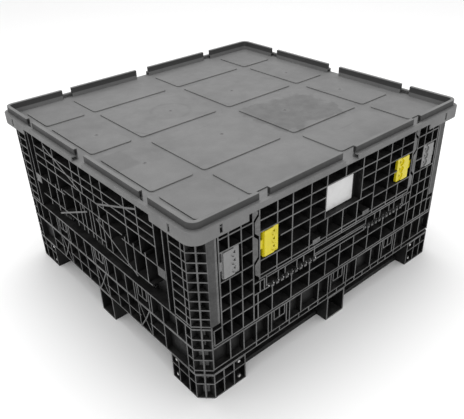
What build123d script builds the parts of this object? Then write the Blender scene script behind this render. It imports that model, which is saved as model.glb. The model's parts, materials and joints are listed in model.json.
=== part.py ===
"""Folding-wall bulk container with a lift-off lid, 48 x 45 in footprint. Millimetres, +Z up, front at -Y.

The base, a deck with four curbs, stands on three runners. The left and right walls end in corner posts.
The front and back walls, each a beam with two towers, hang between the posts and hold a drop door.
"""
from build123d import *
import os

os.makedirs("parts", exist_ok=True)

# Footprint and heights
LENGTH = 1219.0
WIDTH = 1143.0
HALF_L = LENGTH / 2
HALF_W = WIDTH / 2
CORNER = 39.0
WALL = 45.0
Z_FORK = 103.0
Z_ROW = 125.0
Z_DECK = 150.0
Z_CURB = 211.0
Z_SIDE_CURB = 291.0
Z_TOP = 628.0

# Plastic sections
RIB = 4.5
SKIN = 6.0
FACE_DEPTH = 20.0
CURB_DEPTH = 50.0

# Feet and skids
FOOT_X = 440.0
FOOT_Y = 406.0
MID_X = 47.0
MID_Y = 45.0
FOOT_FACE = 24.0
SKID_IN = 46.0
SKID_WIDTH = 75.0
SKID_HEIGHT = 18.0
SCREW_R = 5.0
BOSS_R = 9.0

# Front and back walls
TOWER_IN = 399.0
WALL_END = 531.0
EAR_END = 561.5
EAR_TOP = 277.0
WALL_LOW = 215.0
WALL_HIGH = 624.0
BEAM_TOP = 321.0
BEAM_MID_TOP = 333.0
PIVOT_Y = HALF_W - WALL - 1.0
PIVOT_Z = 213.0
PIN_R = 4.0
KNUCKLE_R = 8.0
RUNNING = 0.05
PIVOTS_X = (-290.0, 0.0, 290.0)
PIVOTS_Y = (-272.0, 0.0, 272.0)

# Drop door
DOOR_HALF = 379.0
DOOR_LOW_HALF = 351.0
DOOR_STEP = 367.0
DOOR_TOP = 621.0
DOOR_LOW = 327.0
DOOR_MID_LOW = 336.0
HINGE_Y = HALF_W + 1.0
HINGE_Z = 324.0
ROD_R = 3.0
TOOTH = 16.0
TOOTH_DEPTH = 12.0
DOOR_TEETH = ((411.0, 18.0), (558.0, 18.0))
WALL_TEETH = ((484.5, 30.0), (604.0, 4.0))
HINGE_IN = 131.0
HINGE_OUT = 341.0
KNUCKLE = 12.0
KNUCKLES = 5
PANEL_DEPTH = 25.0

# Latches
LATCH_W = 63.0
LATCH_H = 93.0
LATCH_Z = 484.5
DOOR_LATCH_X = 297.0
WALL_LATCH_X = 452.0
LATCH_BACK = 14.0
LATCH_FACE = 5.0
BOLT_H = 30.0
BOLT_T = 6.0
BOLT_IN = 5.0

# Posts
POST_IN = 535.0
POST_LOW = 294.0
LOUVER_IN = 455.0

# Lid
LID_OVER = 19.0
LID_PLATE = 4.0
LEDGE_Z = 647.0
LIP_Z = 670.0
SKIRT_Z = 607.0
LID_R = 42.0
LEDGE_W = 13.0
LIP_W = 12.0
SHELL = 4.0
PANEL_RISE = 4.0

FRONT = Plane(origin=(0, -HALF_W, 0), x_dir=(1, 0, 0), z_dir=(0, -1, 0))
BACK = Plane(origin=(0, HALF_W, 0), x_dir=(-1, 0, 0), z_dir=(0, 1, 0))
LEFT = Plane(origin=(-HALF_L, 0, 0), x_dir=(0, -1, 0), z_dir=(-1, 0, 0))
RIGHT = Plane(origin=(HALF_L, 0, 0), x_dir=(0, 1, 0), z_dir=(1, 0, 0))


def octagon(inset):
    """Corner points of the plan outline, a rectangle with chamfered corners, drawn in by inset."""
    x = HALF_L - inset
    y = HALF_W - inset
    cut = CORNER - (2 - 2**0.5) * inset
    corners = [(x, y - cut), (x - cut, y), (cut - x, y), (-x, y - cut)]
    return corners + [(-a, -b) for a, b in corners]


def both(values):
    """The given distances on both sides of the middle."""
    return sorted({-value for value in values} | set(values))


def uprights(columns, low, high, width=RIB):
    """Vertical ribs at the given columns, added to the open sketch."""
    with Locations(*[(column, (low + high) / 2) for column in columns]):
        Rectangle(width, high - low)


def levels(heights, left, right, width=RIB):
    """Horizontal ribs at the given heights, added to the open sketch."""
    with Locations(*[((left + right) / 2, height) for height in heights]):
        Rectangle(right - left, width)


def slanted(start, end, width=RIB):
    """One diagonal rib between two points, added to the open sketch."""
    run = Vector(*end) - Vector(*start)
    with Locations(((start[0] + end[0]) / 2, (start[1] + end[1]) / 2)):
        Rectangle(run.length, width, rotation=Vector(1, 0).get_signed_angle(run))


def block(x, y, z, mode=Mode.ADD):
    """A box given by its three (low, high) spans, added to the open part."""
    with Locations(((x[0] + x[1]) / 2, (y[0] + y[1]) / 2, (z[0] + z[1]) / 2)):
        Box(x[1] - x[0], y[1] - y[0], z[1] - z[0], mode=mode)


def rod(radius, centre, length, axis, mode=Mode.ADD):
    """A cylinder along X or Y, added to the open part."""
    turn = (0, 90, 0) if axis == "x" else (90, 0, 0)
    with Locations(centre):
        Cylinder(radius, length, rotation=turn, mode=mode)


def corner_patches(depth, run_x, run_y):
    """Strips behind the four chamfers, each reaching run_x and run_y along its two faces."""
    for sx in (-1, 1):
        for sy in (-1, 1):
            points = [
                (HALF_L, HALF_W - CORNER - run_y),
                (HALF_L, HALF_W - CORNER),
                (HALF_L - CORNER, HALF_W),
                (HALF_L - CORNER - run_x, HALF_W),
                (HALF_L - CORNER - run_x, HALF_W - depth),
                (HALF_L - depth, HALF_W - CORNER - run_y),
            ]
            Polygon(*[(sx * x, sy * y) for x, y in points], align=None)


# Base tray: perimeter band, side curbs, deck and the rib grid under it
BAND_SINGLES = (101.0, 187.0, 392.0, 445.0, 500.0, 568.0)
BAND_PAIRS = (36.0, 50.0, 242.0, 257.0, 325.0, 340.0)
SLOTS_X = (-290.0, 0.0, 290.0)
ROW_COLUMNS = (0.0, 49.0, 99.0, 146.0, 196.0, 242.0, 288.0, 340.0, 392.0)
SIDE_SINGLES = (105.0, 171.0, 383.0, 455.0, 500.0, 527.0)
SIDE_PAIRS = (36.0, 50.0, 223.0, 237.0, 307.0, 321.0)
SIDE_COLUMNS = (36.0, 105.0, 171.0, 237.0, 307.0, 383.0)
SIDE_LEVELS = (155.0, 212.0)
DIAMONDS_Y = (-272.0, 0.0, 272.0)
DIAMOND_HALF = 32.0
SLOT_HALF = 24.0
UNDER_X = (0.0, 47.0, 150.0, 245.0, 340.0, 440.0, 525.0)
UNDER_Y = (0.0, 45.0, 165.0, 285.0, 406.0, 489.0)
CORNER_LEVELS = (125.0, 168.0, 211.0, 250.0)

with BuildPart() as base_moulding:
    for low, high, outer, inner in (
        (Z_FORK, Z_CURB, FACE_DEPTH, FACE_DEPTH + SKIN),
        (Z_FORK, Z_FORK + RIB, 0, FACE_DEPTH + SKIN),
        (Z_CURB - SKIN, Z_CURB, 0, CURB_DEPTH),
        (Z_DECK - 10, Z_CURB, CURB_DEPTH - SKIN, CURB_DEPTH),
    ):
        with BuildSketch(Plane.XY.offset(low)):
            Polygon(*octagon(outer), align=None)
            Polygon(*octagon(inner), align=None, mode=Mode.SUBTRACT)
        extrude(amount=high - low)
    with BuildSketch(Plane.XY.offset(Z_DECK - 10)):
        Polygon(*octagon(FACE_DEPTH), align=None)
    extrude(amount=10)
    with BuildSketch(Plane.XY.offset(Z_FORK)):
        uprights(both(UNDER_X), 2 * FACE_DEPTH - HALF_W, HALF_W - 2 * FACE_DEPTH, SKIN)
        levels(both(UNDER_Y), FACE_DEPTH - HALF_L, HALF_L - FACE_DEPTH, SKIN)
    extrude(amount=Z_DECK - 10 - Z_FORK)
    # Front and back bands: a row of small cells, then tall cells with hinge slots between close pairs
    for plane in (FRONT, BACK):
        with BuildSketch(plane):
            uprights(both(BAND_SINGLES + BAND_PAIRS), Z_ROW, Z_CURB)
            uprights(both(ROW_COLUMNS), Z_FORK, Z_ROW)
            levels((Z_ROW,), CORNER - HALF_L, HALF_L - CORNER)
            for middle in SLOTS_X:
                uprights((middle - SLOT_HALF, middle, middle + SLOT_HALF), 168, Z_CURB)
                levels((168,), middle - SLOT_HALF, middle + SLOT_HALF)
        extrude(amount=-FACE_DEPTH)
    # Left and right bands run up into the higher side curbs
    for plane in (LEFT, RIGHT):
        with BuildSketch(plane):
            uprights(both(SIDE_SINGLES + SIDE_PAIRS), SIDE_LEVELS[1], Z_SIDE_CURB)
            uprights(both(SIDE_COLUMNS), Z_FORK, SIDE_LEVELS[1])
            uprights(both((500.0, 527.0)), Z_FORK, SIDE_LEVELS[1])
            levels((SIDE_LEVELS[1],), CORNER - HALF_W, HALF_W - CORNER)
            levels((SIDE_LEVELS[0],), -383, 383)
            for middle in DIAMONDS_Y:
                with Locations((middle, SIDE_LEVELS[0])):
                    Rectangle(2 * DIAMOND_HALF - 2 * RIB, 2 * RIB, mode=Mode.SUBTRACT)
                for side in (-1, 1):
                    tip = (middle + side * DIAMOND_HALF, SIDE_LEVELS[0])
                    slanted(tip, (middle, Z_FORK + RIB))
                    slanted(tip, (middle, SIDE_LEVELS[1]))
                uprights((middle - SLOT_HALF, middle, middle + SLOT_HALF), 246, Z_SIDE_CURB)
                levels((246,), middle - SLOT_HALF, middle + SLOT_HALF)
        extrude(amount=-FACE_DEPTH)
    for side in (-1, 1):
        outer = side * HALF_L
        inner = side * (HALF_L - WALL)
        web = (min(inner, inner + side * SKIN), max(inner, inner + side * SKIN))
        skin = sorted((outer - side * FACE_DEPTH, outer - side * (FACE_DEPTH + SKIN)))
        block(web, (-HALF_W, HALF_W), (Z_CURB, Z_SIDE_CURB))
        block(skin, (FACE_DEPTH - HALF_W, HALF_W - FACE_DEPTH), (Z_CURB, Z_SIDE_CURB - SKIN))
        with BuildSketch(Plane.XY.offset(Z_SIDE_CURB - SKIN)):
            points = [(HALF_L - WALL, HALF_W), (HALF_L - CORNER, HALF_W), (HALF_L, HALF_W - CORNER)]
            points += [(x, -y) for x, y in reversed(points)]
            Polygon(*[(side * x, y) for x, y in points], align=None)
        extrude(amount=SKIN)
    for height in CORNER_LEVELS:
        with BuildSketch(Plane.XY.offset(height - RIB)):
            corner_patches(FACE_DEPTH + SKIN, 4, 30)
        extrude(amount=RIB)
    with BuildSketch(Plane.XY.offset(Z_FORK)):
        for sx in (-1, 1):
            for sy in (-1, 1):
                with Locations((sx * (HALF_L - CORNER / 2 - 7), sy * (HALF_W - CORNER / 2 - 7))):
                    Rectangle(FACE_DEPTH, RIB, rotation=45 * sx * sy)
                with Locations((sx * (HALF_L - CORNER + 5.5), sy * (HALF_W - CORNER + 1))):
                    Rectangle(SKIN, 26, rotation=45 * sx * sy)
    extrude(amount=Z_SIDE_CURB - Z_FORK)
    # Knuckles that carry the wall pins
    for middle in PIVOTS_X:
        for side in (-1, 1):
            rod(KNUCKLE_R, (middle, side * PIVOT_Y, PIVOT_Z), 28, "x")
            for shift in (-27, 27):
                rod(KNUCKLE_R + 1, (middle + shift, side * PIVOT_Y, PIVOT_Z), 26, "x", Mode.SUBTRACT)
            rod(PIN_R, (middle, side * PIVOT_Y, PIVOT_Z), 82, "x", Mode.SUBTRACT)
    for middle in PIVOTS_Y:
        for side in (-1, 1):
            rod(KNUCKLE_R + 1, (side * (HALF_L - 31.5), middle, Z_SIDE_CURB + 8.5), 28, "y")
            rod(PIN_R, (side * (HALF_L - 31.5), middle, Z_SIDE_CURB + 8.5), 82, "y", Mode.SUBTRACT)

# The base is one moulding, kept as a deck and four curbs that meet on flat cuts
DECK_X = HALF_L - CURB_DEPTH
DECK_Y = PIVOT_Y - KNUCKLE_R - 0.5
for name, x, y, top in (
    ("base_deck", (-DECK_X, DECK_X), (-DECK_Y, DECK_Y), Z_DECK),
    ("front_curb", (-DECK_X, DECK_X), (-HALF_W, -DECK_Y), Z_TOP),
    ("back_curb", (-DECK_X, DECK_X), (DECK_Y, HALF_W), Z_TOP),
    ("left_curb", (-HALF_L, -DECK_X), (-HALF_W, HALF_W), Z_TOP),
    ("right_curb", (DECK_X, HALF_L), (-HALF_W, HALF_W), Z_TOP),
):
    with BuildPart() as piece:
        add(base_moulding.part)
        block(x, y, (0, top), Mode.INTERSECT)
    piece.part.label = name
    export_step(piece.part, f"parts/{name}.step")


# Runners: three feet on a skid, open ribbed faces outside and plain faces towards the forks
def foot_ring(points, hollow, low, high):
    """A slab or wall of the foot between two heights, with an optional hollow."""
    with BuildSketch(Plane.XY.offset(low)) as ring:
        Polygon(*points, align=None)
        if hollow:
            Polygon(*hollow, align=None, mode=Mode.SUBTRACT)
    extrude(ring.sketch, amount=high - low)


def foot_plan(outer, wall):
    """Front left foot outline, drawn in by outer on the ribbed faces and by wall on the plain ones."""
    cut = CORNER - (2 - 2**0.5) * outer
    x0 = outer - HALF_L
    y0 = outer - HALF_W
    x1 = -FOOT_X - wall
    y1 = -FOOT_Y - wall
    return [(x0, y0 + cut), (x0 + cut, y0), (x1, y0), (x1, y1), (x0, y1)]


FOOT_COLUMNS_X = (-568.0, -530.0, -489.0)
FOOT_COLUMNS_Y = (-530.0, -496.0, -444.0)
FOOT_LEVELS = (0.0, 62.0, Z_FORK - RIB)
BOSS_LEVELS = (21.0, 86.0)
BOSS_X = 465.0
BOSS_Y = 428.0

with BuildPart() as runner_front:
    foot_ring(foot_plan(FOOT_FACE, 0), foot_plan(FOOT_FACE + SKIN, SKIN), 0, Z_FORK)
    for height in FOOT_LEVELS:
        foot_ring(foot_plan(0, 0), foot_plan(FOOT_FACE + SKIN, SKIN), height, height + RIB)
    for column in FOOT_COLUMNS_X + (-FOOT_X - RIB / 2,):
        block((column - RIB / 2, column + RIB / 2), (-HALF_W, FOOT_FACE - HALF_W), (0, Z_FORK))
    for column in FOOT_COLUMNS_Y + (-FOOT_Y - RIB / 2,):
        block((-HALF_L, FOOT_FACE - HALF_L), (column - RIB / 2, column + RIB / 2), (0, Z_FORK))
    with Locations((-HALF_L + CORNER / 2 + 8, -HALF_W + CORNER / 2 + 8, Z_FORK / 2)):
        Box(FOOT_FACE, RIB, Z_FORK, rotation=(0, 0, 45))
    for height in BOSS_LEVELS:
        rod(BOSS_R, (-BOSS_X, -HALF_W + FOOT_FACE / 2 + 3, height), FOOT_FACE - 6, "y")
        rod(SCREW_R, (-BOSS_X, -HALF_W + 8, height), 16, "y", Mode.SUBTRACT)
        rod(BOSS_R, (-HALF_L + FOOT_FACE / 2 + 3, -BOSS_Y, height), FOOT_FACE - 6, "x")
        rod(SCREW_R, (-HALF_L + 8, -BOSS_Y, height), 16, "x", Mode.SUBTRACT)
    block((-FOOT_X - SKIN, 0), (SKID_IN - HALF_W, SKID_IN + SKID_WIDTH - HALF_W), (0, SKID_HEIGHT))
    block((-MID_X, 0), (-HALF_W, -FOOT_Y), (0, SKIN))
    block((-MID_X, 0), (-HALF_W, -FOOT_Y), (Z_FORK - SKIN, Z_FORK))
    block((-MID_X, SKIN - MID_X), (-HALF_W, -FOOT_Y), (0, Z_FORK))
    block((-MID_X, 0), (60 - HALF_W, 60 + SKIN - HALF_W), (0, Z_FORK))
    block((-MID_X, 0), (-FOOT_Y - SKIN, -FOOT_Y), (0, Z_FORK))
    mirror(about=Plane.YZ)
runner_front.part.label = "runner_front"
export_step(runner_front.part, "parts/runner_front.step")

with BuildPart() as runner_back:
    add(runner_front.part, rotation=(0, 0, 180))
runner_back.part.label = "runner_back"
export_step(runner_back.part, "parts/runner_back.step")

with BuildPart() as runner_middle:
    block((-HALF_L, -FOOT_X), (-MID_Y, MID_Y), (0, Z_FORK))
    block((-HALF_L, 60 - HALF_L), (SKIN - MID_Y, MID_Y - SKIN), (SKIN, Z_FORK - SKIN), Mode.SUBTRACT)
    block((60 + SKIN - HALF_L, -FOOT_X - SKIN), (SKIN - MID_Y, MID_Y - SKIN), (SKIN, Z_FORK), Mode.SUBTRACT)
    block((-FOOT_X - SKIN, 0), (-SKID_WIDTH / 2, SKID_WIDTH / 2), (0, SKID_HEIGHT))
    mirror(about=Plane.YZ)
    block((-MID_X, MID_X), (-MID_Y, MID_Y), (0, Z_FORK))
    block((SKIN - MID_X, MID_X - SKIN), (SKIN - MID_Y, MID_Y - SKIN), (SKIN, Z_FORK), Mode.SUBTRACT)
runner_middle.part.label = "runner_middle"
export_step(runner_middle.part, "parts/runner_middle.step")

with BuildPart() as runner_screws:
    for height in BOSS_LEVELS:
        for sx in (-1, 1):
            for sy in (-1, 1):
                rod(SCREW_R, (sx * BOSS_X, sy * (HALF_W - 9.5), height), 13, "y")
                rod(SCREW_R, (sx * (HALF_L - 9.5), sy * BOSS_Y, height), 13, "x")
runner_screws.part.label = "runner_screws"
export_step(runner_screws.part, "parts/runner_screws.step")


# Side walls with the corner posts; seen from outside, y runs to the left on the left wall
SIDE_ROWS = (503.0, 535.0, 567.0)
SIDE_TALL = (39.0, 98.0, 231.0, 300.0, 385.0)
SIDE_MID = (11.0, 58.0, 117.0, 231.0, 300.0, 385.0)
SIDE_LOW = (11.0, 48.0, 75.0, 116.0, 210.0, 258.0, 323.0)
LOUVERS = (301.0, 330.0, 363.0, 396.0, 430.0, 463.0, 496.0, 529.0, 562.0, 595.0)

with BuildPart() as left_side:
    block((-HALF_L + WALL - SKIN, -HALF_L + WALL), (-HALF_W, HALF_W), (Z_SIDE_CURB, Z_TOP))
    with BuildSketch(LEFT):
        levels(SIDE_ROWS + (Z_TOP - RIB / 2,), -385, 385)
        levels((452,), -195, 195)
        levels((436,), -425, -190)
        levels((436,), 190, 425)
        levels((363,), -385, 75)
        levels((340,), 75, 345)
        uprights(both(SIDE_TALL), 503, Z_TOP)
        uprights(both(SIDE_MID), 436, 503)
        uprights(both(SIDE_LOW), 340, 452)
        uprights(both((427.0, LOUVER_IN)), POST_LOW, Z_TOP)
        uprights(both((511.0, 529.5)), POST_LOW, Z_TOP)
        for side in (-1, 1):
            slanted((side * 300, 503), (side * 55, Z_TOP - 36), 6)
            slanted((side * 262, 436), (side * 30, 328), 6)
            with Locations((side * 404, 420)):
                Rectangle(38, 32)
    extrude(amount=SKIN - WALL)
    for sy in (-1, 1):
        for height in LOUVERS + (Z_TOP,):
            with BuildSketch(Plane.XY.offset(height - RIB)):
                points = [
                    (-HALF_L, HALF_W - CORNER),
                    (CORNER - HALF_L, HALF_W),
                    (-POST_IN, HALF_W),
                    (-POST_IN, HALF_W - WALL),
                    (WALL - HALF_L, HALF_W - WALL),
                    (WALL - HALF_L, LOUVER_IN),
                    (-HALF_L, LOUVER_IN),
                ]
                Polygon(*[(x, sy * y) for x, y in points], align=None)
            extrude(amount=RIB)
        front = sorted((sy * HALF_W, sy * (HALF_W - 5)))
        depth = sorted((sy * HALF_W, sy * (HALF_W - WALL)))
        back = sorted((sy * (HALF_W - WALL), sy * (HALF_W - WALL + 5)))
        block((CORNER - HALF_L, -POST_IN), front, (POST_LOW, Z_TOP))
        block((-POST_IN - 5, -POST_IN), depth, (POST_LOW, Z_TOP))
        block((WALL - HALF_L, -POST_IN), back, (POST_LOW, Z_TOP))
        with Locations((-HALF_L + CORNER / 2 + 10, sy * (HALF_W - CORNER / 2 - 10), (POST_LOW + Z_TOP) / 2)):
            Box(28, RIB, Z_TOP - POST_LOW, rotation=(0, 0, -45 * sy))
        slot = sorted((sy * (HALF_W - BOLT_IN), sy * (HALF_W - BOLT_IN - BOLT_T - 3)))
        slot_z = (LATCH_Z - BOLT_H / 2 - 2, LATCH_Z + BOLT_H / 2 + 2)
        block((-POST_IN - 8, -POST_IN), slot, slot_z, Mode.SUBTRACT)
    for middle in PIVOTS_Y:
        for shift in (-27, 27):
            rod(KNUCKLE_R, (31.5 - HALF_L, middle + shift, Z_SIDE_CURB + 8.5), 24, "y")
            rod(PIN_R, (31.5 - HALF_L, middle + shift, Z_SIDE_CURB + 8.5), 30, "y", Mode.SUBTRACT)
        rod(KNUCKLE_R + 2, (31.5 - HALF_L, middle, Z_SIDE_CURB + 8.5), 30, "y", Mode.SUBTRACT)

# Each side is one moulding, kept as a wall and the two posts at its ends
POST_Y = HALF_W - WALL
for name, turned_name, y in (
    ("left_wall", "right_wall", (-POST_Y, POST_Y)),
    ("left_front_post", "right_back_post", (-HALF_W, -POST_Y)),
    ("left_back_post", "right_front_post", (POST_Y, HALF_W)),
):
    with BuildPart() as piece:
        add(left_side.part)
        block((-HALF_L, 0), y, (0, Z_TOP), Mode.INTERSECT)
    piece.part.label = name
    export_step(piece.part, f"parts/{name}.step")
    with BuildPart() as turned:
        add(piece.part, rotation=(0, 0, 180))
    turned.part.label = turned_name
    export_step(turned.part, f"parts/{turned_name}.step")

with BuildPart() as side_wall_pins:
    for middle in PIVOTS_Y:
        for side in (-1, 1):
            rod(PIN_R, (side * (HALF_L - 31.5), middle, Z_SIDE_CURB + 8.5), 78, "y")
side_wall_pins.part.label = "side_wall_pins"
export_step(side_wall_pins.part, "parts/side_wall_pins.step")


# Front wall: two towers on a lower beam, with the doorway between
WALL_LEVELS = (280.0, 330.0, 383.0, 435.0, 486.0, 536.0, 580.0)
TOWER_COLUMNS = (446.0, 492.0)
BEAM_COLUMNS = (0.0, 73.0, 153.0, 238.0, 323.0, 384.0)
EDGE = 5.0


def teeth(root, tip, places, depth):
    """Stepped blocks along both side seams, from root to tip, each with a middle height and half length."""
    slope = abs(tip - root)
    for side in (-1, 1):
        for middle, half in places:
            with BuildSketch(FRONT) as tooth:
                points = [
                    (side * root, middle - half - slope),
                    (side * tip, middle - half),
                    (side * tip, middle + half),
                    (side * root, middle + half + slope),
                ]
                Polygon(*points, align=None)
            extrude(tooth.sketch, amount=-depth)


def door_knuckles(offset):
    """Centres of every second hinge knuckle along the two door hinges, starting at offset."""
    pitch = (HINGE_OUT - HINGE_IN) / (2 * KNUCKLES)
    places = [HINGE_IN + pitch * (index + 0.5) for index in range(offset, 2 * KNUCKLES, 2)]
    return both(places)


with BuildPart() as front_moulding:
    with BuildSketch(FRONT.offset(SKIN - WALL)):
        for side in (-1, 1):
            points = [
                (0, WALL_LOW),
                (EAR_END, WALL_LOW),
                (EAR_END, EAR_TOP),
                (WALL_END, EAR_TOP),
                (WALL_END, WALL_HIGH),
                (TOWER_IN, WALL_HIGH),
                (TOWER_IN, DOOR_STEP - 4),
                (DOOR_LOW_HALF + 4, DOOR_STEP - 4),
                (DOOR_LOW_HALF + 4, BEAM_TOP),
                (HINGE_IN - 3, BEAM_TOP),
                (HINGE_IN - 3, BEAM_MID_TOP),
                (0, BEAM_MID_TOP),
            ]
            Polygon(*[(side * x, z) for x, z in points], align=None)
    extrude(amount=-SKIN)
    with BuildSketch(FRONT):
        for side in (-1, 1):
            ends = sorted((side * TOWER_IN, side * WALL_END))
            levels(WALL_LEVELS, *ends)
            levels((WALL_LOW + EDGE / 2,), *sorted((0, side * EAR_END)), EDGE)
            levels((WALL_HIGH - EDGE / 2,), *ends, EDGE)
            levels((EAR_TOP - RIB / 2,), *sorted((side * WALL_END, side * EAR_END)))
            levels((280,), *sorted((0, side * TOWER_IN)))
            levels((BEAM_TOP - RIB / 2,), *sorted((side * (HINGE_IN - 3), side * TOWER_IN)))
            levels((316, BEAM_MID_TOP - RIB / 2), *sorted((0, side * HINGE_IN)))
            levels((DOOR_STEP - 4 - RIB / 2,), *sorted((side * (DOOR_LOW_HALF + 4), side * TOWER_IN)))
            uprights((side * (TOWER_IN + EDGE / 2), side * (WALL_END - EDGE / 2)), WALL_LOW, WALL_HIGH, EDGE)
            uprights([side * column for column in TOWER_COLUMNS], WALL_LOW, WALL_HIGH)
            uprights((side * (EAR_END - RIB / 2),), WALL_LOW, EAR_TOP)
            uprights((side * (DOOR_LOW_HALF + 4 + RIB / 2),), BEAM_TOP - RIB, DOOR_STEP - 4)
            uprights((side * (DOOR_HALF - 4),), BEAM_TOP - RIB, DOOR_STEP - 4)
            uprights((side * (HINGE_IN - 3 - RIB / 2),), BEAM_TOP - RIB, BEAM_MID_TOP)
        uprights(both(BEAM_COLUMNS), WALL_LOW, BEAM_TOP - RIB)
    extrude(amount=SKIN - WALL)
    teeth(TOWER_IN, DOOR_HALF + 4, WALL_TEETH, TOOTH_DEPTH)
    for side in (-1, 1):
        keeper = sorted((side * (DOOR_HALF + 3), side * (TOWER_IN - 4)))
        block(keeper, (2 - HALF_W, TOOTH_DEPTH + 1 - HALF_W), (LATCH_Z - 17, LATCH_Z + 17), Mode.SUBTRACT)
        pocket = sorted((side * (WALL_LATCH_X - 6), side * (WALL_END - EDGE)))
        block(pocket, (-HALF_W, LATCH_BACK - HALF_W), (LATCH_Z - 48, LATCH_Z + 48), Mode.SUBTRACT)
        exit_slot = sorted((side * (WALL_END - EDGE - 1), side * (WALL_END + 1)))
        block(exit_slot, (4 - HALF_W, LATCH_BACK - 1 - HALF_W), (LATCH_Z - 17, LATCH_Z + 17), Mode.SUBTRACT)
    for place in door_knuckles(0):
        rod(KNUCKLE_R, (place, -HINGE_Y, HINGE_Z), KNUCKLE, "x")
    for place in door_knuckles(1):
        rod(KNUCKLE_R + 1, (place, -HINGE_Y, HINGE_Z), KNUCKLE + 1.5, "x", Mode.SUBTRACT)
    for side in (-1, 1):
        middle = side * (HINGE_IN + HINGE_OUT) / 2
        rod(ROD_R, (middle, -HINGE_Y, HINGE_Z), HINGE_OUT - HINGE_IN + 4, "x", Mode.SUBTRACT)
    for middle in PIVOTS_X:
        rod(KNUCKLE_R + 1, (middle, -PIVOT_Y, PIVOT_Z), 30, "x", Mode.SUBTRACT)
        for shift in (-27, 27):
            rod(KNUCKLE_R, (middle + shift, -PIVOT_Y, PIVOT_Z), 24, "x")
            rod(PIN_R + RUNNING, (middle + shift, -PIVOT_Y, PIVOT_Z), 30, "x", Mode.SUBTRACT)

# Each wall is one moulding, kept as its beam and the two towers beside the doorway
TOWER_CUT = DOOR_LOW_HALF + 4
for name, turned_name, x in (
    ("front_beam", "back_beam", (-TOWER_CUT, TOWER_CUT)),
    ("front_left_tower", "back_right_tower", (-HALF_L, -TOWER_CUT)),
    ("front_right_tower", "back_left_tower", (TOWER_CUT, HALF_L)),
):
    with BuildPart() as piece:
        add(front_moulding.part)
        block(x, (-HALF_W - CORNER, 0), (0, Z_TOP), Mode.INTERSECT)
    piece.part.label = name
    export_step(piece.part, f"parts/{name}.step")
    with BuildPart() as turned:
        add(piece.part, rotation=(0, 0, 180))
    turned.part.label = turned_name
    export_step(turned.part, f"parts/{turned_name}.step")

for name, side in (("front_wall_pins", -1), ("back_wall_pins", 1)):
    with BuildPart() as wall_pins:
        for middle in PIVOTS_X:
            rod(PIN_R, (middle, side * PIVOT_Y, PIVOT_Z), 78, "x")
    wall_pins.part.label = name
    export_step(wall_pins.part, f"parts/{name}.step")


# Drop door, hinged along its lower edge in front of the outer face
DOOR_LEVELS = (434.0, 487.0, 535.0)
DOOR_SIDE_COLUMNS = (161.0, 241.0, 305.0, 374.0)
DOOR_TOP_COLUMNS = (0.0, 89.0, 161.0, 241.0, 305.0)
DOOR_FOOT_COLUMNS = (0.0, 76.0)
DOOR_HINGE_COLUMNS = (184.0, 215.0, 268.0, 298.0)
PANEL_HALF = 88.0
PANEL_LOW = 456.0
PANEL_HIGH = 573.0

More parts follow.
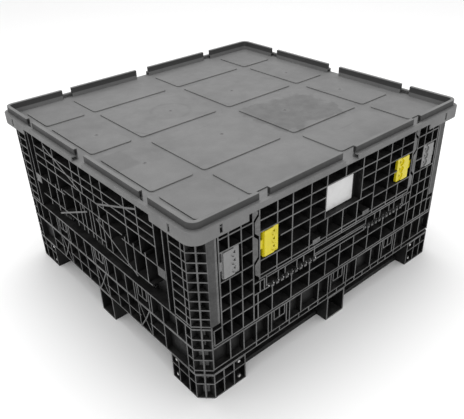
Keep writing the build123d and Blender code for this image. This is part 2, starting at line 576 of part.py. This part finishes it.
with BuildPart() as front_door:
    with BuildSketch(FRONT.offset(SKIN - WALL)):
        for side in (-1, 1):
            points = [
                (0, DOOR_MID_LOW),
                (HINGE_IN, DOOR_MID_LOW),
                (HINGE_IN, DOOR_LOW),
                (DOOR_LOW_HALF, DOOR_LOW),
                (DOOR_LOW_HALF, DOOR_STEP),
                (DOOR_HALF, DOOR_STEP),
                (DOOR_HALF, DOOR_TOP),
                (0, DOOR_TOP),
            ]
            Polygon(*[(side * x, z) for x, z in points], align=None)
    extrude(amount=-SKIN)
    with BuildSketch(FRONT):
        levels((DOOR_TOP - EDGE / 2, DOOR_STEP + EDGE / 2), -DOOR_HALF, DOOR_HALF, EDGE)
        levels((383, 574), -DOOR_HALF, DOOR_HALF)
        levels((DOOR_MID_LOW + RIB / 2,), -HINGE_IN, HINGE_IN)
        levels((361,), -DOOR_LOW_HALF, DOOR_LOW_HALF)
        levels((PANEL_LOW - RIB / 2,), -161, 161)
        for side in (-1, 1):
            levels(DOOR_LEVELS, *sorted((side * 161, side * DOOR_HALF)))
            levels(DOOR_LEVELS[1:], *sorted((side * PANEL_HALF, side * 161)))
            levels((DOOR_LOW + EDGE / 2,), *sorted((side * HINGE_IN, side * DOOR_LOW_HALF)), EDGE)
            uprights((side * (DOOR_HALF - EDGE / 2),), DOOR_STEP, DOOR_TOP, EDGE)
            uprights((side * (DOOR_LOW_HALF - RIB / 2), side * (HINGE_IN + RIB / 2)), DOOR_LOW, DOOR_STEP)
            uprights([side * column for column in DOOR_HINGE_COLUMNS], DOOR_LOW, 361)
            uprights((side * (PANEL_HALF + RIB / 2),), PANEL_LOW - RIB, 574)
            with Locations((side * 126.5, 388)):
                Rectangle(35, 19)
        uprights(both(DOOR_SIDE_COLUMNS[:3]), DOOR_STEP, 574)
        uprights(both(DOOR_TOP_COLUMNS), 574, DOOR_TOP)
        uprights(both(DOOR_FOOT_COLUMNS), 361, PANEL_LOW)
    extrude(amount=SKIN - WALL)
    panel_y = (PANEL_DEPTH - HALF_W, PANEL_DEPTH + 4 - HALF_W)
    block((-PANEL_HALF, PANEL_HALF), panel_y, (PANEL_LOW, PANEL_HIGH))
    teeth(DOOR_HALF, DOOR_HALF + TOOTH, DOOR_TEETH, TOOTH_DEPTH)
    for side in (-1, 1):
        pocket = sorted((side * (DOOR_LATCH_X - 6), side * (DOOR_HALF - EDGE)))
        block(pocket, (-HALF_W, LATCH_BACK - HALF_W), (LATCH_Z - 48, LATCH_Z + 48), Mode.SUBTRACT)
        exit_slot = sorted((side * (DOOR_HALF - EDGE - 1), side * (DOOR_HALF + 1)))
        block(exit_slot, (4 - HALF_W, LATCH_BACK - 1 - HALF_W), (LATCH_Z - 17, LATCH_Z + 17), Mode.SUBTRACT)
    for place in door_knuckles(1):
        rod(KNUCKLE_R, (place, -HINGE_Y, HINGE_Z), KNUCKLE, "x")
        rod(ROD_R + RUNNING, (place, -HINGE_Y, HINGE_Z), KNUCKLE + 2, "x", Mode.SUBTRACT)
    for place in door_knuckles(0):
        rod(KNUCKLE_R + 1, (place, -HINGE_Y, HINGE_Z), KNUCKLE + 1.5, "x", Mode.SUBTRACT)
front_door.part.label = "front_door"
export_step(front_door.part, "parts/front_door.step")

with BuildPart() as back_door:
    add(front_door.part, rotation=(0, 0, 180))
back_door.part.label = "back_door"
export_step(back_door.part, "parts/back_door.step")

for name, side in (("front_door_rods", -1), ("back_door_rods", 1)):
    with BuildPart() as door_rods:
        for hand in (-1, 1):
            middle = hand * (HINGE_IN + HINGE_OUT) / 2
            rod(ROD_R, (middle, side * HINGE_Y, HINGE_Z), HINGE_OUT - HINGE_IN + 4, "x")
    door_rods.part.label = name
    export_step(door_rods.part, f"parts/{name}.step")

for name, turn in (("front_placard", 0), ("back_placard", 180)):
    with BuildPart() as placard:
        with BuildSketch(FRONT.offset(-PANEL_DEPTH)):
            with Locations((-6, PANEL_LOW + 50)):
                RectangleRounded(146, 92, 3)
        extrude(amount=3)
    with BuildPart() as placed:
        add(placard.part, rotation=(0, 0, turn))
    placed.part.label = name
    export_step(placed.part, f"parts/{name}.step")


# Sliding latches: a plate with three finger scallops and three holes, and a bolt towards the post
def latch(inner_x, bolt_end):
    """One latch on the front face, to the right of the middle, drawn with its bolt released."""
    with BuildSketch(FRONT.offset(-LATCH_BACK)) as plate:
        with Locations((inner_x + LATCH_W / 2, LATCH_Z)):
            RectangleRounded(LATCH_W, LATCH_H, 3)
        for step in (-1, 0, 1):
            with Locations((inner_x + 16, LATCH_Z + 27 * step)):
                Triangle(a=13, b=11, c=11, rotation=-90, mode=Mode.SUBTRACT)
    extrude(plate.sketch, amount=LATCH_BACK - LATCH_FACE)
    with BuildSketch(FRONT.offset(-LATCH_FACE)) as grip:
        with Locations((inner_x + 40, LATCH_Z)):
            RectangleRounded(40, LATCH_H - 4, 3)
        for step in (-1, 0, 1):
            with Locations((inner_x + 20, LATCH_Z + 27 * step)):
                Circle(12.5, mode=Mode.SUBTRACT)
    extrude(grip.sketch, amount=LATCH_FACE - 0.5)
    bolt_y = (BOLT_IN - HALF_W + 0.5, BOLT_IN + BOLT_T - HALF_W)
    block((inner_x + LATCH_W - 3, bolt_end), bolt_y, (LATCH_Z - BOLT_H / 2, LATCH_Z + BOLT_H / 2))


for kind, inner_x, bolt_end in (
    ("door", DOOR_LATCH_X, DOOR_HALF - 0.5),
    ("wall", WALL_LATCH_X, WALL_END - 0.5),
):
    with BuildPart() as right_latch:
        latch(inner_x, bolt_end)
    with BuildPart() as left_latch:
        add(right_latch.part)
        mirror(about=Plane.YZ, mode=Mode.REPLACE)
    for face, turn in (("front", 0), ("back", 180)):
        for hand, shape in (("left", left_latch), ("right", right_latch)):
            with BuildPart() as placed:
                add(shape.part, rotation=(0, 0, turn))
            placed.part.label = f"{face}_{kind}_latch_{hand}"
            export_step(placed.part, f"parts/{face}_{kind}_latch_{hand}.step")


# Lid: flat plate, stepped rim with broken lips, deeper skirts at the corners
RIM_L = HALF_L + LID_OVER
RIM_W = HALF_W + LID_OVER
PANELS_X = ((-560.0, -403.0), (-365.0, -30.0), (30.0, 365.0), (403.0, 560.0))
PANELS_Y = ((-522.0, -349.0), (-315.0, -25.0), (25.0, 315.0), (349.0, 522.0))
LIP_GAPS = (362.0,)
GAP = 42.0
NOTCH = 64.0
NOTCH_IN = 62.0
GAP_IN = 40.0
SLOT_FROM_END = 98.0
SLOT_HALF_W = 5.0
SLOT_LOW = 615.0
SLOT_HIGH = 641.0
SKIRT_X = 196.0
SKIRT_Y = 190.0


def rim(low, high, outer, inner):
    """A rounded ring of the lid between two insets and two heights."""
    with BuildSketch(Plane.XY.offset(low)) as ring:
        RectangleRounded(2 * (RIM_L - outer), 2 * (RIM_W - outer), LID_R - outer)
        if inner:
            corner = max(LID_R - inner, 2)
            RectangleRounded(2 * (RIM_L - inner), 2 * (RIM_W - inner), corner, mode=Mode.SUBTRACT)
    extrude(ring.sketch, amount=high - low)


with BuildPart() as lid:
    rim(Z_TOP, Z_TOP + LID_PLATE, 0, 0)
    rim(Z_TOP, LEDGE_Z, 0, SHELL)
    rim(LEDGE_Z - SHELL, LEDGE_Z, 0, LEDGE_W + SHELL)
    rim(LEDGE_Z - SHELL, LIP_Z, LEDGE_W, LEDGE_W + SHELL)
    rim(LIP_Z - SHELL, LIP_Z, LEDGE_W, LEDGE_W + LIP_W)
    rim(Z_TOP, LIP_Z, LEDGE_W + LIP_W - SHELL, LEDGE_W + LIP_W)
    # Corner skirts hang below the plate outside the walls
    with BuildSketch(Plane.XY.offset(SKIRT_Z)):
        RectangleRounded(2 * RIM_L, 2 * RIM_W, LID_R)
        RectangleRounded(2 * (RIM_L - SHELL), 2 * (RIM_W - SHELL), LID_R - SHELL, mode=Mode.SUBTRACT)
        Rectangle(2 * (RIM_L - SKIRT_X), 2 * RIM_W, mode=Mode.SUBTRACT)
        Rectangle(2 * RIM_L, 2 * (RIM_W - SKIRT_Y), mode=Mode.SUBTRACT)
    extrude(amount=Z_TOP - SKIRT_Z)
    # Openings through the lips: small gaps at the quarters and a wider notch at each middle
    lip = (Z_TOP + LID_PLATE, LIP_Z + 1)
    for side in (-1, 1):
        gap_x = sorted((side * (RIM_L - LEDGE_W + 1), side * (RIM_L - GAP_IN)))
        gap_y = sorted((side * (RIM_W - LEDGE_W + 1), side * (RIM_W - GAP_IN)))
        for middle in both(LIP_GAPS):
            block(gap_x, (middle - GAP / 2, middle + GAP / 2), lip, Mode.SUBTRACT)
            block((middle - GAP / 2, middle + GAP / 2), gap_y, lip, Mode.SUBTRACT)
        notch_x = sorted((side * (RIM_L + 1), side * (RIM_L - NOTCH_IN)))
        notch_y = sorted((side * (RIM_W + 1), side * (RIM_W - NOTCH_IN)))
        block(notch_x, (-NOTCH / 2, NOTCH / 2), lip, Mode.SUBTRACT)
        block((-NOTCH / 2, NOTCH / 2), notch_y, lip, Mode.SUBTRACT)
        slot_x = sorted((side * (RIM_L + 1), side * (RIM_L - SHELL - 1)))
        slot_y = sorted((side * (RIM_W + 1), side * (RIM_W - SHELL - 1)))
        for end in (-1, 1):
            middle = end * (RIM_W - SLOT_FROM_END)
            block(slot_x, (middle - SLOT_HALF_W, middle + SLOT_HALF_W), (SLOT_LOW, SLOT_HIGH), Mode.SUBTRACT)
            middle = end * (RIM_L - SLOT_FROM_END)
            block((middle - SLOT_HALF_W, middle + SLOT_HALF_W), slot_y, (SLOT_LOW, SLOT_HIGH), Mode.SUBTRACT)
    with BuildSketch(Plane.XY.offset(Z_TOP + LID_PLATE)):
        for x0, x1 in PANELS_X:
            for y0, y1 in PANELS_Y:
                with Locations(((x0 + x1) / 2, (y0 + y1) / 2)):
                    RectangleRounded(x1 - x0, y1 - y0, 12)
    extrude(amount=PANEL_RISE)
lid.part.label = "lid"
export_step(lid.part, "parts/lid.step")
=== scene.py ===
"""Looks for the folding-wall bulk container: materials, small moulded details, light and camera."""
import bpy
import bmesh
import json
from math import cos, pi, radians, sin
from mathutils import Matrix, Vector


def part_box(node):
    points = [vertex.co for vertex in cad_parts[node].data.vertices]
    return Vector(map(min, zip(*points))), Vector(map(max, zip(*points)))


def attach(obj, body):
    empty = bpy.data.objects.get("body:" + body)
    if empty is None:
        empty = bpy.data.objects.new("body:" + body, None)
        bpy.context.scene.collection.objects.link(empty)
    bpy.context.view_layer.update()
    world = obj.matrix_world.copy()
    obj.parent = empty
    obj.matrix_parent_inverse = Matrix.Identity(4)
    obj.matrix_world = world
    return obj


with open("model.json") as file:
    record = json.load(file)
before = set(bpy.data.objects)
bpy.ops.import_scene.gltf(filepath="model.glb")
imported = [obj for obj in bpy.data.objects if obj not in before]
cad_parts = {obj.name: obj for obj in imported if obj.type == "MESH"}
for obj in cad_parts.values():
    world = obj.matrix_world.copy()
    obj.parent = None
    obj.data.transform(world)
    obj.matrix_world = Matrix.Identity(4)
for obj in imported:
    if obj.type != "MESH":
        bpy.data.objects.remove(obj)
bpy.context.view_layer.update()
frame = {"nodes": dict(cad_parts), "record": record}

# The container's outer faces, in metres
SIDE_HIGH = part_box("right_curb")[1]
LID_LOW, LID_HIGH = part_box("lid")
HALF_L = SIDE_HIGH[0]
HALF_W = SIDE_HIGH[1]
LIP_TOP = LID_HIGH[2]
POST_LOW = 0.294
POST_STRIP = (0.542, 0.5695)

# Where the lid was filled when it was moulded, and its panels' top face
GATES_X = (-0.470, -0.154, 0.154, 0.470)
GATES_Y = (-0.150, 0.150)
PANEL_TOP = frame["record"]["mounts"][1]["pos_m"][2]
NUB = ((0.0075, 0.0), (0.0065, 0.0009), (0.0035, 0.0010), (0.0025, 0.0022), (0.0, 0.0024))


class Shader:
    """A small helper that builds one node material on a Principled shader."""

    def __init__(self, name):
        self.material = bpy.data.materials.new(name)
        self.material.use_nodes = True
        self.tree = self.material.node_tree
        self.shader = self.tree.nodes["Principled BSDF"]
        coords = self.node("ShaderNodeTexCoord")
        self.place = coords.outputs["Object"]
        split = self.node("ShaderNodeSeparateXYZ")
        self.link(self.place, split.inputs[0])
        self.x, self.y, self.z = split.outputs
        facing = self.node("ShaderNodeSeparateXYZ")
        self.link(coords.outputs["Normal"], facing.inputs[0])
        self.nx, self.ny, self.nz = facing.outputs

    def node(self, kind, **settings):
        made = self.tree.nodes.new(kind)
        for key, value in settings.items():
            setattr(made, key, value)
        return made

    def link(self, source, target):
        self.tree.links.new(source, target)

    def put(self, value, socket):
        if isinstance(value, bpy.types.NodeSocket):
            self.link(value, socket)
        else:
            socket.default_value = value

    def math(self, operation, *values, clamp=False):
        made = self.node("ShaderNodeMath", operation=operation, use_clamp=clamp)
        for value, socket in zip(values, made.inputs):
            self.put(value, socket)
        return made.outputs[0]

    def ramp(self, value, low, high, start=0.0, end=1.0):
        """Maps value from low..high to start..end with soft ends."""
        made = self.node("ShaderNodeMapRange", interpolation_type="SMOOTHSTEP")
        for index, item in enumerate((value, low, high, start, end)):
            self.put(item, made.inputs[index])
        return made.outputs[0]

    def noise(self, scale, detail=4.0, rough=0.55, stretch=None):
        source = self.place
        if stretch:
            mapping = self.node("ShaderNodeMapping")
            self.link(source, mapping.inputs["Vector"])
            mapping.inputs["Scale"].default_value = stretch
            source = mapping.outputs[0]
        made = self.node("ShaderNodeTexNoise")
        self.link(source, made.inputs["Vector"])
        made.inputs["Scale"].default_value = scale
        made.inputs["Detail"].default_value = detail
        made.inputs["Roughness"].default_value = rough
        return made.outputs["Fac"]

    def mix(self, factor, first, second):
        made = self.node("ShaderNodeMix", data_type="RGBA")
        self.put(factor, made.inputs["Factor"])
        for value, socket in ((first, made.inputs[6]), (second, made.inputs[7])):
            self.put((*value, 1.0) if isinstance(value, tuple) else value, socket)
        return made.outputs[2]

    def ring(self, x, y, radius, width):
        """1 on a circle round the point (x, y) of the plan, falling to 0 at width from it."""
        dx = self.math("SUBTRACT", self.x, x)
        dy = self.math("SUBTRACT", self.y, y)
        square = self.math("ADD", self.math("MULTIPLY", dx, dx), self.math("MULTIPLY", dy, dy))
        away = self.math("SQRT", square)
        off = self.math("ABSOLUTE", self.math("SUBTRACT", away, radius))
        return self.ramp(off, 0.0, width, 1.0, 0.0)

    def within(self, value, low, high, soft):
        """1 between low and high, falling to 0 over soft on both sides."""
        rise = self.ramp(value, low - soft, low + soft)
        fall = self.ramp(value, high - soft, high + soft, 1.0, 0.0)
        return self.math("MULTIPLY", rise, fall)

    def finish(self, color, roughness, bumps):
        """Sets colour and roughness, and stacks bumps given as (height, metres)."""
        self.put(color, self.shader.inputs["Base Color"])
        self.put(roughness, self.shader.inputs["Roughness"])
        normal = None
        for height, depth in bumps:
            bump = self.node("ShaderNodeBump")
            bump.inputs["Distance"].default_value = depth
            self.link(height, bump.inputs["Height"])
            if normal:
                self.link(normal, bump.inputs["Normal"])
            normal = bump.outputs[0]
        self.link(normal, self.shader.inputs["Normal"])
        return self.material


def grey(value, warm=0.0):
    return (value * (1 + warm), value, value * (1 - warm))


def body_plastic():
    """Black moulded plastic, paled on the outer rib faces partly by scuffing and partly by painted light
    that sets them against the shaded cells, and dusty on the upward faces.
    """
    s = Shader("body_plastic")
    size_y = s.math("ABSOLUTE", s.y)
    size_x = s.math("ABSOLUTE", s.x)
    flat_y = s.math("ABSOLUTE", s.ny)
    flat_x = s.math("ABSOLUTE", s.nx)
    # Outer faces are paled: partly real scuffing, partly painted light for the lit rib faces against the
    # shaded cells
    front = s.math("MULTIPLY", s.ramp(size_y, HALF_W - 0.0016, HALF_W - 0.0006), s.ramp(flat_y, 0.8, 0.95))
    side = s.math("MULTIPLY", s.ramp(size_x, HALF_L - 0.0016, HALF_L - 0.0006), s.ramp(flat_x, 0.8, 0.95))
    slant = s.ramp(s.math("MINIMUM", flat_x, flat_y), 0.55, 0.66)
    outer = s.math("MAXIMUM", s.math("MAXIMUM", front, side), slant)
    # The plain strip down each post gets less of the scuffing and painted light than the ribs
    above_curb = s.ramp(s.z, POST_LOW - 0.0005, POST_LOW + 0.0005)
    strip = s.math("MULTIPLY", s.within(size_x, *POST_STRIP, 0.002), above_curb)
    outer = s.math("MULTIPLY", outer, s.math("SUBTRACT", 1.0, s.math("MULTIPLY", strip, 0.62)))
    patchy = s.ramp(s.noise(9.0, 5.0), 0.3, 0.72, 0.55, 1.15)
    fine = s.ramp(s.noise(160.0, 3.0), 0.3, 0.7, 0.8, 1.15)
    wear_and_painted_light = s.math("MULTIPLY", s.math("MULTIPLY", outer, patchy), fine, clamp=True)
    dust = s.math("MULTIPLY", s.ramp(s.nz, 0.7, 0.95), s.ramp(s.noise(24.0, 5.0), 0.35, 0.75, 0.2, 1.0))
    streaks = s.ramp(s.noise(60.0, 4.0, 0.6, (1.0, 1.0, 0.08)), 0.45, 0.8)
    base = s.mix(s.math("MULTIPLY", streaks, 0.35), grey(0.003), grey(0.009))
    base = s.mix(s.math("MULTIPLY", dust, 0.5), base, grey(0.045, 0.02))
    # Outer rib faces lightened: scuffing plus painted light
    color = s.mix(wear_and_painted_light, base, grey(0.125))
    s.shader.inputs["Specular IOR Level"].default_value = 0.3
    roughness = s.ramp(s.noise(45.0, 4.0), 0.3, 0.7, 0.42, 0.62)
    return s.finish(color, roughness, ((s.noise(1400.0, 2.0), 0.00006), (s.noise(14.0, 3.0), 0.0004)))


def lid_plastic():
    """Dark grey lid with a fine grain, faint scuffs and arcs, one stained panel and gate blush rings."""
    s = Shader("lid_plastic")
    broad = s.ramp(s.noise(3.2, 5.0, 0.6), 0.3, 0.7)
    cloudy = s.ramp(s.noise(16.0, 6.0, 0.62), 0.3, 0.72)
    fine = s.ramp(s.noise(420.0, 3.0, 0.7), 0.25, 0.75)
    base = s.mix(broad, grey(0.118), grey(0.150))
    base = s.mix(s.math("MULTIPLY", cloudy, 0.35), base, grey(0.165))
    base = s.mix(s.math("MULTIPLY", fine, 0.28), base, grey(0.08))
    top = s.ramp(s.nz, 0.6, 0.9)
    # A damp stain over one panel, and a smaller dark patch near the left edge
    wobble = s.ramp(s.noise(11.0, 5.0, 0.65), 0.2, 0.8, -0.05, 0.05)
    stain_x = s.within(s.math("ADD", s.x, wobble), 0.02, 0.325, 0.012)
    stain_y = s.within(s.math("ADD", s.y, wobble), -0.30, -0.045, 0.014)
    mottled = s.ramp(s.noise(26.0, 6.0, 0.7), 0.25, 0.7, 0.35, 1.0)
    stain = s.math("MULTIPLY", s.math("MULTIPLY", stain_x, stain_y), mottled)
    base = s.mix(s.math("MULTIPLY", stain, 0.62), base, grey(0.060))
    patch = s.math("MULTIPLY", s.within(s.x, -0.60, -0.478, 0.006), s.within(s.y, -0.145, -0.01, 0.006))
    base = s.mix(s.math("MULTIPLY", patch, 0.35), base, grey(0.075))
    # Faint rings and arcs: centre, radius, line width, and how broken the line is
    for x, y, radius, width, low, high in (
        (-0.153, 0.150, 0.074, 0.012, 0.25, 0.75),
        (-0.170, 0.140, 0.200, 0.006, 0.48, 0.75),
        (0.190, -0.175, 0.232, 0.005, 0.46, 0.72),
        (0.110, 0.060, 0.330, 0.004, 0.52, 0.75),
        (-0.320, -0.420, 0.260, 0.004, 0.52, 0.78),
    ):
        broken = s.ramp(s.noise(5.0 + 30.0 * radius, 3.0), low, high)
        arc = s.math("MULTIPLY", s.ring(x, y, radius, width), broken)
        base = s.mix(s.math("MULTIPLY", arc, 0.45), base, grey(0.066))
    for x in GATES_X:
        for y in GATES_Y:
            halo = s.ring(x, y, 0.0, 0.026)
            base = s.mix(s.math("MULTIPLY", halo, 0.35), base, grey(0.175))
            base = s.mix(s.math("MULTIPLY", s.ring(x, y, 0.0, 0.009), 0.7), base, grey(0.045))
    scratches = s.ramp(s.noise(30.0, 6.0, 0.7, (1.0, 0.06, 1.0)), 0.62, 0.75)
    base = s.mix(s.math("MULTIPLY", s.math("MULTIPLY", scratches, top), 0.3), base, grey(0.23))
    # The lips' upright faces are painted near-black: painted shade, as if they lay in shadow
    lip_height = s.within(s.z, LIP_TOP - 0.0215, LIP_TOP - 0.001, 0.001)
    lip_wall_shade = s.math("MULTIPLY", lip_height, s.ramp(s.math("ABSOLUTE", s.nz), 0.3, 0.6, 1.0, 0.0))
    base = s.mix(s.math("MULTIPLY", lip_wall_shade, 0.82), base, grey(0.012))
    roughness = s.ramp(s.noise(20.0, 5.0), 0.3, 0.7, 0.55, 0.72)
    return s.finish(base, roughness, ((s.noise(900.0, 2.0, 0.6), 0.00012), (s.noise(8.0, 4.0), 0.0012)))


def moulded(name, color, dirty, roughness):
    """Plain coloured plastic with grime in patches and a fine grain."""
    s = Shader(name)
    grime = s.ramp(s.noise(34.0, 6.0, 0.65), 0.5, 0.78)
    tint = s.ramp(s.noise(9.0, 3.0), 0.3, 0.7, 0.0, 0.25)
    base = s.mix(tint, color, tuple(0.8 * part for part in color))
    base = s.mix(s.math("MULTIPLY", grime, 0.3), base, dirty)
    rough = s.ramp(s.noise(60.0, 4.0), 0.3, 0.7, roughness - 0.06, roughness + 0.08)
    return s.finish(base, rough, ((s.noise(1100.0, 2.0), 0.00008), (s.noise(50.0, 3.0), 0.0002)))


def steel():
    """Drawn steel with streaks along its length and a little tarnish."""
    s = Shader("steel")
    streaks = s.noise(900.0, 3.0, 0.6, (0.03, 1.0, 1.0))
    tarnish = s.ramp(s.noise(70.0, 5.0), 0.5, 0.8)
    base = s.mix(s.ramp(streaks, 0.3, 0.7), grey(0.62), grey(0.78))
    base = s.mix(s.math("MULTIPLY", tarnish, 0.5), base, (0.30, 0.26, 0.22))
    s.shader.inputs["Metallic"].default_value = 1.0
    return s.finish(base, s.ramp(streaks, 0.3, 0.7, 0.22, 0.4), ((streaks, 0.00005),))


MATERIALS = {
    "body_plastic": body_plastic(),
    "lid_plastic": lid_plastic(),
    "door_latch": moulded("door_latch", (0.62, 0.52, 0.006), (0.20, 0.15, 0.02), 0.40),
    "wall_latch": moulded("wall_latch", grey(0.19), grey(0.05), 0.42),
    "placard": moulded("placard", grey(0.62), grey(0.36, 0.03), 0.5),
    "steel": steel(),
}

for part in frame["record"]["subparts"]:
    holder = frame["nodes"][part["node"]]
    holder.data.materials.clear()
    holder.data.materials.append(MATERIALS[part["material_slot"]])


def finish_piece(mesh_maker, name, body, slot):
    """Turns a bmesh into a named piece that rides on a body and takes a slot's material."""
    mesh = bpy.data.meshes.new(name)
    mesh_maker.to_mesh(mesh)
    mesh_maker.free()
    mesh.materials.append(MATERIALS[slot])
    piece = bpy.data.objects.new(name, mesh)
    bpy.context.scene.collection.objects.link(piece)
    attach(piece, body)
    return piece


def lathe(bm, profile, matrix, steps=20):
    """Adds a turned shape: profile is (radius, height) pairs from the outside bottom to the middle top."""
    rings = []
    for radius, height in profile:
        if radius == 0:
            rings.append([bm.verts.new(matrix @ Vector((0, 0, height)))])
        else:
            turn = [2 * pi * step / steps for step in range(steps)]
            places = [Vector((radius * cos(angle), radius * sin(angle), height)) for angle in turn]
            rings.append([bm.verts.new(matrix @ place) for place in places])
    for low, high in zip(rings, rings[1:]):
        for step in range(steps):
            after = (step + 1) % steps
            if len(high) == 1:
                bm.faces.new((low[step], low[after], high[0]))
            else:
                bm.faces.new((low[step], low[after], high[after], high[step]))


# Gate marks: shallow turned nubs left in the middle of the lid's panels
gates = bmesh.new()
for gate_x in GATES_X:
    for gate_y in GATES_Y:
        lathe(gates, NUB, Matrix.Translation((gate_x, gate_y, PANEL_TOP)))
finish_piece(gates, "lid_gate_marks", "lid", "lid_plastic")

# Floor, light and camera
FLOOR_HALF = 20.0
PAPER_WHITE = 0.93
WORLD_STRENGTH = 0.95

floor_mesh = bmesh.new()
bmesh.ops.create_grid(floor_mesh, x_segments=1, y_segments=1, size=FLOOR_HALF)
floor_data = bpy.data.meshes.new("floor")
floor_mesh.to_mesh(floor_data)
floor_mesh.free()
floor = bpy.data.objects.new("floor", floor_data)
bpy.context.scene.collection.objects.link(floor)
paper = bpy.data.materials.new("paper")
paper.use_nodes = True
paper_shader = paper.node_tree.nodes["Principled BSDF"]
paper_shader.inputs["Base Color"].default_value = (PAPER_WHITE, PAPER_WHITE, PAPER_WHITE, 1.0)
paper_shader.inputs["Roughness"].default_value = 0.9
floor_data.materials.append(paper)

world = bpy.data.worlds.new("studio")
bpy.context.scene.world = world
world.use_nodes = True
sky = world.node_tree.nodes["Background"]
sky.inputs["Color"].default_value = (1.0, 1.0, 1.0, 1.0)
sky.inputs["Strength"].default_value = WORLD_STRENGTH


def lamp(name, place, aim, size, power):
    """A round soft light of the given size in metres and power in watts."""
    light = bpy.data.lights.new(name, "AREA")
    light.shape = "DISK"
    light.size = size
    light.energy = power
    holder = bpy.data.objects.new(name, light)
    holder.location = place
    holder.rotation_euler = (Vector(aim) - Vector(place)).to_track_quat("-Z", "Y").to_euler()
    bpy.context.scene.collection.objects.link(holder)


lamp("overhead", (0.3, 0.6, 4.2), (0, 0, 0.3), 3.0, 85)
lamp("front_fill", (-3.4, -4.2, 2.4), (0, 0, 0.3), 2.4, 40)

CAMERA_AZIMUTH = radians(-40.23)
CAMERA_ELEVATION = radians(31.43)
CAMERA_ROLL = radians(-1.89)
CAMERA_TARGET = Vector((-0.0209, -0.0333, 0.2235))
CAMERA_DISTANCE = 2.327
LENS_MM = 44.36

level = cos(CAMERA_ELEVATION)
away = Vector((sin(CAMERA_AZIMUTH) * level, -cos(CAMERA_AZIMUTH) * level, sin(CAMERA_ELEVATION)))
right = Vector((cos(CAMERA_AZIMUTH), sin(CAMERA_AZIMUTH), 0.0))
upward = away.cross(right)
rolled_right = cos(CAMERA_ROLL) * right + sin(CAMERA_ROLL) * upward
rolled_up = -sin(CAMERA_ROLL) * right + cos(CAMERA_ROLL) * upward
camera_data = bpy.data.cameras.new("camera")
camera_data.lens = LENS_MM
camera_data.sensor_width = 36.0
camera_data.sensor_fit = "HORIZONTAL"
camera = bpy.data.objects.new("camera", camera_data)
turned = Matrix((rolled_right, rolled_up, away)).transposed()
camera.matrix_world = Matrix.Translation(CAMERA_TARGET + CAMERA_DISTANCE * away) @ turned.to_4x4()
bpy.context.scene.collection.objects.link(camera)
bpy.context.scene.camera = camera
bpy.context.scene.view_settings.view_transform = "Standard"
